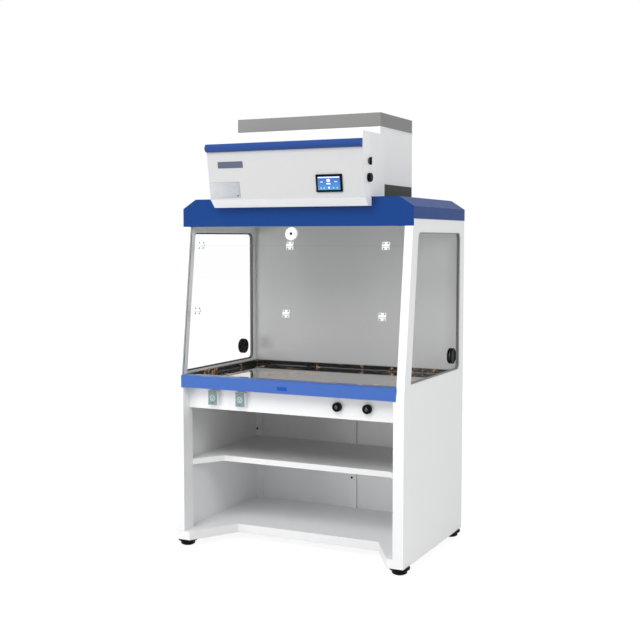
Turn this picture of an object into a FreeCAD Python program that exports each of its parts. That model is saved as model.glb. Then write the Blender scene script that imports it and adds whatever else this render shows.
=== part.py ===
import FreeCAD, Part
import math
import os
from FreeCAD import Vector

os.makedirs("parts", exist_ok=True)

# Ductless fume hood on its own cabinet. Millimetres, +Z up, front towards -Y,
# +X to the right of a person who stands in front of it, floor at z = 0.

# Whole cabinet
width = 1200.0
depth = 812.0
sheet = 1.5
panel = 20.0
reveal = 0.3
half = width / 2
inner = half - panel

# Cuts reach this far past the face that they open, and edges are picked within this distance
over = 1.0
near = 0.01

# Heights above the floor, each part of the stack measured from the one below it
base_bottom = 36.0
base_h = 43.0
base_top = base_bottom + base_h
shelf_top = 424.0
shelf_edge = 28.0
deck = 848.0
strip_h = 58.0
strip_gap = 2.0
seam = deck - strip_h - strip_gap
fascia_bottom = 1566.0
flange_step = 32.0
flange_bottom = fascia_bottom + flange_step
ceiling_step = 4.0
ceiling = flange_bottom + ceiling_step
chamfer_step = 55.0
chamfer_low = flange_bottom + chamfer_step
chamfer_h = 45.0
canopy_top = chamfer_low + chamfer_h
collar_h = 64.0
box_bottom = canopy_top + collar_h
control_h = 287.0
control_top = canopy_top + control_h
filter_h = 263.0
cap_bottom = box_bottom + filter_h
cap_h = 64.0
cap_top = cap_bottom + cap_h

# Front posts, measured across X and back along Y
low_post_w = 52.0
low_post_d = 82.0
up_post_w = 40.0
up_post_d = 48.0
lean = 99.0

# Door of the head stands ahead of the cabinet, and its grip further still
door_ahead = 7.0
grip_proud = 21.0

# Cabinet floor and shelf with a knee recess that has slanted ends
base_recess_d = 236.0
base_side = 218.0
base_corner_in = 60.0
base_recess_w = width - 2 * base_side
shelf_recess_d = 221.0
shelf_side = 150.0
shelf_corner_in = 35.5
shelf_recess_w = width - 2 * shelf_side

# Levelling feet
foot_in_x = 38.0
foot_in_y = 53.0
foot_r = 48.0
foot_ring_r = 33.0
foot_step = 5.0
foot_rim = 9.0
foot_edge = 2.0
stud_r = 6.0
stud_up = 38.0
boss_r = 14.0
boss_h = 30.0
run_fit = 0.05

# Rear wall, stiles and shelf brackets
back_gap = 26.0
back_short = 1.0
lower_gap = 4.0
stile_w = 52.0
corner_stile_w = 40.0
stile_proud = 8.0
bracket_w = 20.0
bracket_len = 60.0
bracket_t = 2.0
bracket_h = 25.0
bracket_in = 40.0
panel_drop = 58.0

# Worktop
tray_behind = 10.0
tray_drop = 23.0
tray_t = 12.0
tray_rim = 18.0
tray_round = 6.0
rail_w = 30.0
strip_return = 20.0

# Apron, sockets and valve knobs
apron_back = 55.0
apron_h = 103.0
apron_bottom = seam - apron_h
apron_fold = 25.0
apron_top_fold = 12.0
socket_w = 53.0
socket_h = 72.0
socket_proud = 22.0
socket_drop = 81.5
socket_low = seam - socket_drop
socket_side = (199.0, 350.0)
socket_x = [side - half for side in socket_side]
socket_well_r = 19.0
socket_well_d = 12.0
socket_well_drop = 4.0
socket_wall = 4.0
socket_pin_x = 9.5
socket_pin_r = 2.4
cover_t = 4.0
cover_pin_r = 1.5
cover_margin = 3.0
knob_side = (346.5, 196.5)
knob_x = [half - side for side in knob_side]
knob_drop = 48.0
knob_z = seam - knob_drop
knob_r = 21.5
knob_t = 20.0
knob_round = 3.0
flutes = 12
flute_r = 2.6
flute_out = 1.0
spindle_r = 4.0
spindle_in = 5.0
spindle_clear = 1.0
valve_r = 14.0
valve_len = 45.0

# Side windows, measured from the cabinet's front and back
win_back = 56.0
win_up = 10.0
win_low = deck + win_up
win_drop = 29.0
win_high = fascia_bottom - win_drop
win_front = 72.0
win_round = 28.0
gasket_w = 5.5
gasket_t = 14.0
side_pane_t = 5.0
pane_edge = 3.0
port_back = 149.0
port_up = 84.0
port_z = deck + port_up
port_r = 39.0
port_flange = 10.0
port_neck = 33.0

# Folding front window
pane_t = 6.0
pane_in = 8.0
pane_side = 2.0
pane_head = 2.0
fold_drop = 89.0
fold_high = fascia_bottom - fold_drop
fold_span = 316.0
fold_low = fold_high - fold_span
pane_gap = 2.0
pane_foot = 4.0
hinge_side = 116.0
hinge_x = half - hinge_side
hinge_shift = -12.0
leaf_w = 36.0
leaf_h = 18.0
leaf_t = 2.5
knuckle_r = 4.0
knuckle_gap = 0.4
pin_r = 1.6
pin_up = 4.5
sensor_r = 32.0
sensor_t = 13.0
sensor_up = 55.0
sensor_shift = -5.0
sensor_round = 4.0
mouth_r = 5.0
mouth_d = 5.0

# Canopy
canopy_side = 2.0
canopy_back = 100.0
chamfer_in = 69.0
canopy_flat = half - chamfer_in
slant_part = 0.3
duct_side = 270.0
duct_w = width - 2 * duct_side
duct_in = 42.0

# Ceiling and lamp
ceiling_clear = 1.0
lip_up = 4.0
lamp_side = 280.0
lamp_w = width - 2 * lamp_side
lamp_d = 70.0
lamp_h = 24.0
lamp_back = 60.0
lamp_round = 6.0

# Head behind the door
head_side = 200.0
head_w = width - 2 * head_side
head_seam = 86.0
head_gap = 1.0
head_back = 248.0
box_in = 22.0
box_w = head_w - 2 * box_in
box_d = 407.0
collar_t = 20.0
rim_h = 6.0
rim_out = 2.0
bottom_flange = 46.0

# Filters
cell_gap = 16.0
cell_play = 2.0
prefilter_t = 20.0
prefilter_cells = 5
prefilter_bar = 12.0
prefilter_sink = 3.0
carbon_t = 90.0
carbon_edge = 20.0
carbon_sink = 4.0
hepa_t = 74.0
hepa_wall = 12.0
pleats = 36
pleat_in = 5.0
media_t = 3.0

# Fan, its deck and the exhaust cap
deck_t = 1.5
fan_r = 145.0
fan_h = 66.0
fan_eye = 100.0
fan_plate = 2.0
fan_lift = 5.0
blades = 9
blade_t = 2.5
blade_sweep = 0.55
blade_steps = 6
blade_in = 3.0
blade_out = 2.0
hub_r = 22.0
shaft_r = 6.0
motor_r = 48.0
motor_h = 46.0
motor_gap = 3.0
bar_w = 60.0
bar_t = 3.0
cap_step = 3.0
slot_count = 11
slot_w = 14.0
slot_end = 40.0
slot_side = 50.0
slot_mid = 15.0

# Door of the head, its heights measured down from its top
face_drop = 73.0
face_high = control_top - face_drop
face_h = 220.0
face_low = face_high - face_h
face_slope = 34.0
band_h = 36.0
band_low = face_low - band_h
band_back = 35.0
lip_clear = 4.0
door_over = 2.0
grip_h = 38.0
grip_mid = face_high + grip_h / 2
grip_shoulder = 13.0
grip_foot = 3.0
grip_nose = (-6.0, 4.0)
screen_side = 172.0
screen_x = head_w / 2 - screen_side
screen_drop = 227.0
screen_z = control_top - screen_drop
screen_w = 130.0
screen_h = 80.0
screen_proud = 7.0
screen_body_w = 112.0
screen_body_h = 62.0
screen_body_t = 22.0
face_cut = 5.0

# Key lock and latch in the door's right flange, and the hooks that they turn behind
lock_drop = 131.0
lock_z = control_top - lock_drop
latch_drop = 204.0
latch_z = control_top - latch_drop
lock_back = 63.0
lock_r = 8.0
lock_rim = 3.0
latch_r = 20.0
latch_t = 14.0
latch_round = 3.0
latch_plate = 3.0
dents = 10
dent_r = 3.0
dent_out = 1.0
cam_len = 30.0
cam_w = 12.0
cam_t = 2.5
cam_in = 14.0
bow_h = 34.0
bow_t = 4.0
bow_out = 12.0
keeper_w = 17.0
keeper_t = 2.0
keeper_side = 3.5
keeper_clear = 4.0
keeper_hook = 18.0
keeper_in = 40.0
keeper_step = 5.0

# Door hinges on the left flange
side_hinge_h = 60.0
side_hinge_drop = (245.0, 55.0)
side_hinge_z = [control_top - drop for drop in side_hinge_drop]
side_leaf_w = 26.0
side_leaf_t = 2.0
side_knuckle_r = 4.0
side_pin_r = 2.0
side_clear = 1.0

# Electronics and mains inlet
board_w = 220.0
board_h = 130.0
board_t = 1.6
board_side = 210.0
board_drop = 145.0
board_z = control_top - board_drop
stand_off = 10.0
post_in = 8.0
post_r = 4.0
chips = ((-60.0, 20.0, 40.0, 40.0, 12.0), (10.0, 30.0, 24.0, 24.0, 4.0),
         (60.0, -20.0, 50.0, 18.0, 18.0), (-20.0, -35.0, 70.0, 14.0, 14.0))
supply_w = 180.0
supply_h = 100.0
supply_d = 45.0
inlet_back = 50.0
inlet_up = 62.0
inlet_z = canopy_top + inlet_up
inlet_w = 30.0
inlet_h = 22.0
inlet_d = 26.0
inlet_lip = 3.0
inlet_ear = 8.0
inlet_edge = 4.0
inlet_wall = 2.5
inlet_well = 17.0
inlet_pin = 11.0
inlet_pins = ((-7.0, -2.5), (7.0, -2.5), (0.0, 3.5))
inlet_pin_w = 2.0
inlet_pin_h = 4.0

# Places that follow from the sizes above
front = (depth + door_ahead + grip_proud) / -2 + door_ahead + grip_proud
back = front + depth
wall = back - back_gap
slope_run = fascia_bottom - seam
tilt = math.atan2(lean, slope_run)


def box(x0, x1, y0, y1, z0, z1):
    """Block between two corners."""
    return Part.makeBox(x1 - x0, y1 - y0, z1 - z0, Vector(x0, y0, z0))


def flat(points):
    """Flat face inside a closed line of points."""
    return Part.Face(Part.makePolygon(points + points[:1]))


def face_yz(points, x):
    """Flat face from (y, z) points at one x."""
    return flat([Vector(x, y, z) for y, z in points])


def prism_yz(points, x0, x1):
    """Outline in Y and Z carried along X."""
    return face_yz(points, x0).extrude(Vector(x1 - x0, 0, 0))


def prism_xy(points, z0, z1):
    """Outline in X and Y carried up Z."""
    return flat([Vector(x, y, z0) for x, y in points]).extrude(Vector(0, 0, z1 - z0))


def prism_xz(points, y0, y1):
    """Outline in X and Z carried along Y."""
    return flat([Vector(x, y0, z) for x, z in points]).extrude(Vector(0, y1 - y0, 0))


def rod_x(x0, x1, y, z, r):
    return Part.makeCylinder(r, x1 - x0, Vector(x0, y, z), Vector(1, 0, 0))


def rod_y(x, y0, y1, z, r):
    return Part.makeCylinder(r, y1 - y0, Vector(x, y0, z), Vector(0, 1, 0))


def rod_z(x, y, z0, z1, r):
    return Part.makeCylinder(r, z1 - z0, Vector(x, y, z0), Vector(0, 0, 1))


def turned(profile, x, y):
    """Outline of (radius, z) turned about a vertical axis."""
    solid = flat([Vector(r, 0, z) for r, z in profile]).revolve(Vector(0, 0, 0), Vector(0, 0, 1), 360)
    solid.translate(Vector(x, y, 0))
    return solid


def joined(solids):
    """Pieces of one part welded or moulded together."""
    return solids[0].multiFuse(solids[1:]).removeSplitter()


def save(name, shape):
    """One sub-part is one file, a single solid or a group of separate ones."""
    solids = shape if isinstance(shape, list) else [shape]
    for solid in solids:
        if not solid.isValid() or len(solid.Solids) != 1:
            print("check", name, solid.isValid(), len(solid.Solids))
    solids = [solid.Solids[0] for solid in solids]
    whole = solids[0] if len(solids) == 1 else Part.makeCompound(solids)
    whole.exportStep("parts/" + name + ".step")


def both_sides(shape):
    """The same piece at the right, as drawn, and mirrored at the left."""
    return {"right": shape, "left": shape.mirror(Vector(0, 0, 0), Vector(1, 0, 0))}


def on_slope(up, out):
    """Point (y, z) at a distance up the leaning front and out of it."""
    y = front + up * math.sin(tilt) - out * math.cos(tilt)
    z = seam + up * math.cos(tilt) + out * math.sin(tilt)
    return (y, z)


def slope_block(up0, up1, out0, out1, x0, x1):
    """Block that lies along the leaning front."""
    corners = [(up0, out0), (up1, out0), (up1, out1), (up0, out1)]
    return prism_yz([on_slope(u, n) for u, n in corners], x0, x1)


def up_to(z):
    """Distance up the leaning front at which its face reaches a height."""
    return (z - seam) / math.cos(tilt)


def recessed_outline(x_side, y_front, y_rear, recess_w, recess_d, corner_x):
    """Plan of the floor or shelf: a rectangle with a slant-ended knee recess."""
    deep = front + recess_d
    return [(-x_side, y_rear), (-x_side, y_front), (-corner_x, y_front), (-recess_w / 2, deep),
            (recess_w / 2, deep), (corner_x, y_front), (x_side, y_front), (x_side, y_rear)]


def folded_tray(outline, z0, z1):
    """Sheet with its edges turned down: open underneath."""
    hollow = flat([Vector(x, y, z0) for x, y in outline]).makeOffset2D(-sheet)
    return prism_xy(outline, z0, z1).cut(hollow.extrude(Vector(0, 0, z1 - z0 - sheet)))


# Cabinet floor: a folded tray with a threaded boss over each foot
foot_x = half - foot_in_x
foot_y = (front + foot_in_y, back - foot_in_y)
base_corner = inner - base_corner_in
outline = recessed_outline(inner, front, back - sheet, base_recess_w, base_recess_d, base_corner)
pieces = [folded_tray(outline, base_bottom, base_top)]
boss_top = base_top - sheet
for side in (-1, 1):
    ear = sorted((side * inner, side * half))
    pieces.append(box(ear[0], ear[1], front, front + sheet, base_bottom, base_top))
    for y in foot_y:
        pieces.append(rod_z(side * foot_x, y, boss_top - boss_h, boss_top, boss_r))
base_tray = joined(pieces)
for side in (-1, 1):
    for y in foot_y:
        base_tray = base_tray.cut(rod_z(side * foot_x, y, base_bottom, boss_top, stud_r + run_fit))
save("base_tray", base_tray)

# Levelling feet: a wide moulded pad on a steel stud that screws into the boss
pad_top = base_bottom - reveal
stud_top = pad_top + stud_up
for row, y in zip(("front", "rear"), foot_y):
    for name, side in (("left", -1), ("right", 1)):
        profile = [(0, 0), (foot_ring_r, 0), (foot_ring_r, foot_step), (foot_r, pad_top - foot_rim),
                   (foot_r, pad_top - foot_edge), (foot_r - foot_edge, pad_top), (stud_r, pad_top),
                   (stud_r, stud_top), (0, stud_top)]
        save("foot_" + row + "_" + name, turned(profile, side * foot_x, y))

# Hollow side panels: two skins joined round the edge and round the window
panel_top = canopy_top - panel_drop
hidden_front = front + canopy_back + 2 * sheet
panel_front = front + sheet
panel_rear = back - sheet
panel_outline = [(panel_front, base_bottom), (panel_rear, base_bottom), (panel_rear, panel_top),
                 (hidden_front, panel_top), (hidden_front, fascia_bottom),
                 (panel_front + lean, fascia_bottom), (panel_front, seam)]
win_rear = back - win_back


def win_edge(z):
    """Front edge of the window, beside the leaning front."""
    return front + (z - seam) * lean / slope_run + win_front


def window_face(grow, x):
    """Window outline with three round corners, grown or shrunk."""
    sharp_y = win_edge(win_low)
    points = [(sharp_y, win_low), (win_rear, win_low), (win_rear, win_high), (win_edge(win_high), win_high)]
    solid = prism_yz(points, x, x + over)
    edges = []
    for edge in solid.Edges:
        a = edge.Vertexes[0].Point
        b = edge.Vertexes[1].Point
        along_x = abs(a.y - b.y) < near and abs(a.z - b.z) < near
        if along_x and not (abs(a.z - win_low) < near and abs(a.y - sharp_y) < near):
            edges.append(edge)
    solid = solid.makeFillet(win_round, edges)
    side = [f for f in solid.Faces if abs(f.CenterOfMass.x - x) < near][0]
    side = Part.Face(side.OuterWire)
    return side.makeOffset2D(grow) if grow else side


def window_block(grow, x0, x1):
    """Window outline carried along X."""
    return window_face(grow, x0).extrude(Vector(x1 - x0, 0, 0))


hollow = face_yz(panel_outline, inner + sheet).makeOffset2D(-sheet)
hollow = hollow.extrude(Vector(panel - 2 * sheet, 0, 0))
open_foot = box(inner + sheet, half - sheet, panel_front + sheet, panel_rear - sheet,
                base_bottom, base_bottom + 2 * sheet)
side_panel = prism_yz(panel_outline, inner, half).cut(hollow).cut(open_foot)
side_panel = joined([side_panel, window_block(sheet, inner, half)])
side_panel = side_panel.cut(window_block(0, inner - over, half + over))
for name, shape in both_sides(side_panel).items():
    save("side_panel_" + name, shape)

# Front posts, folded channels: upright below the worktop, leaning above it
low_x = half - low_post_w
low_post = joined([
    box(low_x, half, front, front + sheet, base_top, seam),
    box(low_x, low_x + sheet, front, front + low_post_d, base_top, seam),
    box(low_x, inner, front + low_post_d - sheet, front + low_post_d, base_top, seam)])
up_x = half - up_post_w


def leaning(y0, y1, x0, x1):
    """Plate of the upper post between two depths behind the leaning front."""
    points = [(front + y0, seam), (front + y1, seam),
              (front + lean + y1, fascia_bottom), (front + lean + y0, fascia_bottom)]
    return prism_yz(points, x0, x1)


up_post = joined([
    leaning(0, sheet, up_x, half),
    leaning(0, up_post_d, up_x, up_x + sheet),
    leaning(up_post_d - sheet, up_post_d, up_x, inner)])
for name, shape in both_sides(low_post).items():
    save("lower_post_" + name, shape)
for name, shape in both_sides(up_post).items():
    save("upper_post_" + name, shape)

# Rear: an outer sheet, an inner one with three stiles welded on, and a liner in the chamber
save("outer_back", box(-half, half, back - sheet, back, base_bottom, flange_bottom - back_short))
panel_y = wall + lower_gap
stile_y = panel_y - stile_proud
pieces = [box(-inner, inner, panel_y, panel_y + sheet, base_top, seam)]
stiles = ((-inner, -inner + corner_stile_w), (-stile_w / 2, stile_w / 2), (inner - corner_stile_w, inner))
for x0, x1 in stiles:
    solid = box(x0, x1, stile_y, panel_y, base_top, seam)
    pieces.append(solid.cut(box(x0 + sheet, x1 - sheet, stile_y + sheet, panel_y, base_top, seam)))
save("lower_back_panel", joined(pieces))
save("back_liner", box(-inner, inner, wall, wall + sheet, seam, ceiling))

# Shelf, folded like the floor, on four angle brackets
shelf_front = front + low_post_d
shelf_corner = inner - shelf_corner_in
outline = recessed_outline(inner, shelf_front, stile_y, shelf_recess_w, shelf_recess_d, shelf_corner)
shelf_low = shelf_top - shelf_edge
save("shelf", folded_tray(outline, shelf_low, shelf_top))
brackets = []
for y0 in (shelf_front + bracket_in, stile_y - bracket_in - bracket_len):
    seat = box(inner - bracket_w, inner, y0, y0 + bracket_len, shelf_low - bracket_t, shelf_low)
    leg = box(inner - bracket_t, inner, y0, y0 + bracket_len, shelf_low - bracket_h, shelf_low)
    brackets += list(both_sides(joined([seat, leg])).values())
save("shelf_brackets", brackets)

# Worktop: a black tray with a raised rim, on two rails between the side panels
tray_front = front + up_post_d + tray_behind
tray_top = deck - tray_drop
tray_low = tray_top - tray_t
worktop = box(-inner, inner, tray_front, wall, tray_low, deck)
well_x = inner - tray_rim
well = box(-well_x, well_x, tray_front + tray_rim, wall - tray_rim, tray_top, deck)
well = well.makeFillet(tray_round, [e for e in well.Edges if abs(e.BoundBox.ZLength - tray_drop) < near])
save("worktop", worktop.cut(well))
rails = []
for y in (tray_front, wall - rail_w):
    rail = box(-inner, inner, y, y + rail_w, seam, tray_low)
    rails.append(rail.cut(box(-inner, inner, y + sheet, y + rail_w - sheet, seam, tray_low - sheet)))
save("worktop_rails", rails)

# Front strip: a folded blue sheet that carries the arms, between the upper posts
strip_low = deck - strip_h
save("front_strip", joined([
    box(-up_x, up_x, front, front + sheet, strip_low, deck),
    box(-up_x, up_x, front, tray_front, deck - sheet, deck),
    box(-up_x, up_x, front, front + strip_return, strip_low, strip_low + sheet)]))

# Apron under the strip, folded back at its foot, with holes for the valve spindles
apron_y = front + apron_back
apron = joined([
    box(-low_x, low_x, apron_y, apron_y + sheet, apron_bottom, seam),
    box(-low_x, low_x, apron_y, apron_y + apron_fold, apron_bottom, apron_bottom + sheet),
    box(-low_x, low_x, apron_y, apron_y + apron_top_fold, seam - sheet, seam)])
for x in knob_x:
    hole_r = spindle_r + spindle_clear
    apron = apron.cut(rod_y(x, apron_y - over, apron_y + sheet + over, knob_z, hole_r))
save("apron", apron)

# Surface sockets with a round well, and a flip cover on two trunnions
socket_face = apron_y - socket_proud
socket_high = socket_low + socket_h
cover_y = socket_face - cover_t / 2 - reveal
cover_pivot = socket_high - cover_margin - cover_t / 2
well_z = socket_low + socket_h / 2 - socket_well_drop
socket_boxes = []
for number, x in enumerate(socket_x, 1):
    x0 = x - socket_w / 2
    x1 = x + socket_w / 2
    body = box(x0, x1, socket_face, apron_y, socket_low, socket_high)
    body = body.cut(rod_y(x, socket_face - over, socket_face + socket_well_d, well_z, socket_well_r))
    for dx in (-socket_pin_x, socket_pin_x):
        body = body.cut(rod_y(x + dx, socket_face, apron_y - socket_wall, well_z, socket_pin_r))
    for e0, e1 in ((x0, x0 + cover_margin), (x1 - cover_margin, x1)):
        body = body.fuse(box(e0, e1, cover_y - cover_t / 2, socket_face,
                             cover_pivot - cover_t, cover_pivot + cover_t / 2))
    body = body.cut(rod_x(x0 - over, x1 + over, cover_y, cover_pivot, cover_pin_r + run_fit))
    socket_boxes.append(body.removeSplitter())
    c0 = x0 + cover_margin + reveal
    c1 = x1 - cover_margin - reveal
    save("socket_cover_" + str(number), joined([
        box(c0, c1, cover_y - cover_t / 2, cover_y + cover_t / 2, socket_low + cover_margin, cover_pivot),
        rod_x(c0, c1, cover_y, cover_pivot, cover_t / 2),
        rod_x(x0, x1, cover_y, cover_pivot, cover_pin_r)]))
save("socket_boxes", socket_boxes)

# Valves behind the apron and their fluted knobs in front of it
valves = []
knob_rear = apron_y - reveal
knob_face = knob_rear - knob_t
valve_y = apron_y + sheet
for number, x in enumerate(knob_x, 1):
    valves.append(joined([
        rod_y(x, valve_y, valve_y + valve_len, knob_z, valve_r),
        rod_y(x, knob_face + spindle_in, valve_y, knob_z, spindle_r)]))
    knob = rod_y(x, knob_face, knob_rear, knob_z, knob_r)
    knob = knob.makeFillet(knob_round, [e for e in knob.Edges if e.BoundBox.YMax < knob_face + near])
    for k in range(flutes):
        a = 2 * math.pi * k / flutes
        flute_x = x + (knob_r + flute_out) * math.cos(a)
        flute_z = knob_z + (knob_r + flute_out) * math.sin(a)
        knob = knob.cut(rod_y(flute_x, knob_face, knob_rear, flute_z, flute_r))
    knob = knob.cut(rod_y(x, knob_face + spindle_in - reveal, knob_rear, knob_z, spindle_r + run_fit))
    save("valve_knob_" + str(number), knob.removeSplitter())
save("valves", valves)

# Side windows: a pane in a rubber gasket, with a round cable port low at the rear
port_y = back - port_back
pane_x = half - panel / 2 - side_pane_t / 2
pane_end = pane_x + side_pane_t
pane = window_block(-pane_edge, pane_x, pane_end)
gasket_x = half - panel / 2 - gasket_t / 2
gasket = window_block(0, gasket_x, gasket_x + gasket_t)
gasket = gasket.cut(window_block(-gasket_w, gasket_x - over, gasket_x + gasket_t + over)).cut(pane)
port = joined([
    rod_x(pane_x, pane_end, port_y, port_z, port_neck),
    rod_x(pane_x - port_flange, pane_x, port_y, port_z, port_r),
    rod_x(pane_end, pane_end + port_flange, port_y, port_z, port_r)])
for name, shape in both_sides(pane.cut(rod_x(inner, half, port_y, port_z, port_neck))).items():
    save("side_window_" + name, shape)
save("window_gaskets", list(both_sides(gasket).values()))
save("cable_ports", list(both_sides(port).values()))

# Folding front window: a fixed pane, a middle pane and a lower pane
pane_half = up_x - pane_side
fold_up = (up_to(fold_low), up_to(fold_high))
pane_top = up_to(ceiling) - pane_head
pane_low = up_to(deck) + pane_foot
out0 = -pane_in - pane_t
out1 = -pane_in
panes = (("fixed", fold_up[1] + pane_gap / 2, pane_top),
         ("middle", fold_up[0] + pane_gap / 2, fold_up[1] - pane_gap / 2),
         ("lower", pane_low, fold_up[0] - pane_gap / 2))
for name, low, high in panes:
    save("sash_" + name + "_pane", slope_block(low, high, out0, out1, -pane_half, pane_half))

# Moulded butt hinges: two outer knuckles with the pin above each fold, one middle knuckle below
pin_out = -pane_in + pin_up


def hinge_leaf(x, up, above):
    """Half of a hinge. The half above the fold has the outer knuckles and the pin."""
    y, z = on_slope(up, pin_out)
    third = leaf_w / 3
    x0 = x - leaf_w / 2
    x1 = x + leaf_w / 2
    way = 1 if above else -1
    spans = ((x0, x0 + third), (x1 - third, x1))
    if not above:
        spans = ((x0 + third + knuckle_gap, x1 - third - knuckle_gap),)
    step = up + way * (knuckle_r + knuckle_gap)
    lo, hi = sorted((step, up + way * leaf_h))
    leaf = slope_block(lo, hi, -pane_in, -pane_in + leaf_t, x0, x1)
    lo, hi = sorted((up + way * pane_gap / 2, step))
    for a, b in spans:
        leaf = leaf.fuse(slope_block(lo, hi, -pane_in, -pane_in + leaf_t, a, b))
        leaf = leaf.fuse(rod_x(a, b, y, z, knuckle_r))
    if above:
        leaf = leaf.fuse(rod_x(x0, x1, y, z, pin_r))
    else:
        leaf = leaf.cut(rod_x(x0, x1, y, z, pin_r + run_fit))
    return leaf.removeSplitter()


hinge_places = [hinge_shift + x for x in (-hinge_x, 0.0, hinge_x)]
save("hinge_leaves_fixed", [hinge_leaf(x, fold_up[1], True) for x in hinge_places])
middle = [hinge_leaf(x, fold_up[1], False) for x in hinge_places]
middle += [hinge_leaf(x, fold_up[0], True) for x in hinge_places]
save("hinge_leaves_middle", middle)
save("hinge_leaves_lower", [hinge_leaf(x, fold_up[0], False) for x in hinge_places])

# Round air sensor on the fixed pane, over the middle hinge
y, z = on_slope(fold_up[1] + sensor_up, -pane_in)
sensor_seat = Vector(sensor_shift, y, z)
outwards = Vector(0, -math.cos(tilt), math.sin(tilt))
sensor = Part.makeCylinder(sensor_r, sensor_t, sensor_seat, outwards)
rim = [e for e in sensor.Edges if e.BoundBox.XLength > sensor_r]
rim = [e for e in rim if (e.CenterOfMass - sensor_seat).Length > sensor_t / 2]
sensor = sensor.makeFillet(sensor_round, rim)
mouth = sensor_seat + outwards * (sensor_t - mouth_d)
save("air_sensor", sensor.cut(Part.makeCylinder(mouth_r, mouth_d + over, mouth, outwards)))

# Canopy: one folded blue sheet with chamfered sides, a deeper front and a duct opening
canopy_y = front + canopy_back
canopy_x = half + canopy_side
section = [(-canopy_x, flange_bottom), (-canopy_x, chamfer_low), (-canopy_flat, canopy_top),
           (canopy_flat, canopy_top), (canopy_x, chamfer_low), (canopy_x, flange_bottom)]
skin_x = canopy_x - sheet
skin_flat = canopy_flat - sheet * slant_part
skin_low = chamfer_low - sheet * slant_part
skin_top = canopy_top - sheet
hollow_section = [(-skin_x, flange_bottom), (-skin_x, skin_low), (-skin_flat, skin_top),
                  (skin_flat, skin_top), (skin_x, skin_low), (skin_x, flange_bottom)]
duct_x = duct_w / 2
box_y = front + head_back
head_rear = box_y + box_d
duct_y = (box_y + duct_in, head_rear - duct_in)
canopy = prism_xz(section, canopy_y, back)
canopy = canopy.cut(prism_xz(hollow_section, canopy_y + sheet, back - sheet))
fascia = box(-canopy_x, canopy_x, canopy_y, canopy_y + sheet, fascia_bottom, flange_bottom + sheet)
canopy = canopy.fuse(fascia)
canopy = canopy.cut(box(-duct_x, duct_x, duct_y[0], duct_y[1], canopy_top - 2 * sheet, canopy_top + over))
save("canopy", canopy.removeSplitter())

# Ceiling of the chamber, turned down behind the fixed pane, with the lamp under it
ceiling_front = on_slope(pane_top, out0)[0]
ceiling_top = ceiling + sheet
ceiling_panel = box(-inner, inner, ceiling_front + ceiling_clear, wall, ceiling, ceiling_top)
ceiling_panel = ceiling_panel.cut(box(-duct_x, duct_x, duct_y[0], duct_y[1],
                                      ceiling - over, ceiling_top + over))
lip = slope_block(up_to(fascia_bottom), up_to(ceiling) + lip_up, out0 - sheet, out0, -pane_half, pane_half)
lip = lip.common(box(-half, half, front, back, seam, ceiling_top))
save("ceiling_panel", joined([ceiling_panel, lip]))
lamp_y = ceiling_front + lamp_back
lamp_low = ceiling - lamp_h
lamp = box(-lamp_w / 2, lamp_w / 2, lamp_y, lamp_y + lamp_d, lamp_low, ceiling)
long_edges = [e for e in lamp.Edges if e.BoundBox.ZMax < lamp_low + near and e.BoundBox.XLength > lamp_w / 2]
save("lamp", lamp.makeFillet(lamp_round, long_edges))

# Collar on the canopy, with the washable first filter lying inside it on the canopy's edge
box_x = box_w / 2
collar = box(-box_x, box_x, box_y, head_rear, canopy_top, box_bottom)
bore_x = box_x - collar_t
bore_y = (box_y + collar_t, head_rear - collar_t)
save("collar", collar.cut(box(-bore_x, bore_x, bore_y[0], bore_y[1], canopy_top, box_bottom)))
cell_x = bore_x - cell_play
cell_y = (bore_y[0] + cell_play, bore_y[1] - cell_play)
prefilter_top = canopy_top + prefilter_t
prefilter = box(-cell_x, cell_x, cell_y[0], cell_y[1], canopy_top, prefilter_top)
span = (2 * cell_x - (prefilter_cells + 1) * prefilter_bar) / prefilter_cells
for k in range(prefilter_cells):
    x0 = -cell_x + prefilter_bar + k * (span + prefilter_bar)
    prefilter = prefilter.cut(box(x0, x0 + span, cell_y[0] + prefilter_bar, cell_y[1] - prefilter_bar,
                                  prefilter_top - prefilter_sink, prefilter_top + over))
save("prefilter", prefilter)

# Filter box: four walls with an inward floor flange and a thick rim that carries the cap
filter_box = box(-box_x, box_x, box_y, head_rear, box_bottom, cap_bottom)
room_x = box_x - sheet
room_y = (box_y + sheet, head_rear - sheet)
filter_box = filter_box.cut(box(-room_x, room_x, room_y[0], room_y[1], box_bottom + sheet, cap_bottom))
hole_x = box_x - bottom_flange
filter_box = filter_box.cut(box(-hole_x, hole_x, box_y + bottom_flange, head_rear - bottom_flange,
                                box_bottom - over, box_bottom + sheet + over))
rim_x = box_x + rim_out
rim = box(-rim_x, rim_x, room_y[0], head_rear + rim_out, cap_bottom - rim_h, cap_bottom)
rim = rim.cut(box(-box_x, box_x, box_y - over, head_rear, cap_bottom - rim_h, cap_bottom))
save("filter_box", joined([filter_box, rim]))

# Filters stacked on the floor flange: a carbon cell, then a pleated fine filter
cell_x = box_x - cell_gap
cell_y = (box_y + cell_gap, head_rear - cell_gap)
carbon_low = box_bottom + sheet
hepa_low = carbon_low + carbon_t
carbon = box(-cell_x, cell_x, cell_y[0], cell_y[1], carbon_low, hepa_low)
for z0 in (carbon_low, hepa_low - carbon_sink):
    carbon = carbon.cut(box(-cell_x + carbon_edge, cell_x - carbon_edge, cell_y[0] + carbon_edge,
                            cell_y[1] - carbon_edge, z0, z0 + carbon_sink))
save("carbon_filter", carbon)
deck_low = hepa_low + hepa_t
media_x = cell_x - hepa_wall
media_y = (cell_y[0] + hepa_wall, cell_y[1] - hepa_wall)
hepa_frame = box(-cell_x, cell_x, cell_y[0], cell_y[1], hepa_low, deck_low)
hepa_frame = hepa_frame.cut(box(-media_x, media_x, media_y[0], media_y[1], hepa_low, deck_low))
pitch = 2 * media_x / pleats
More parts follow.
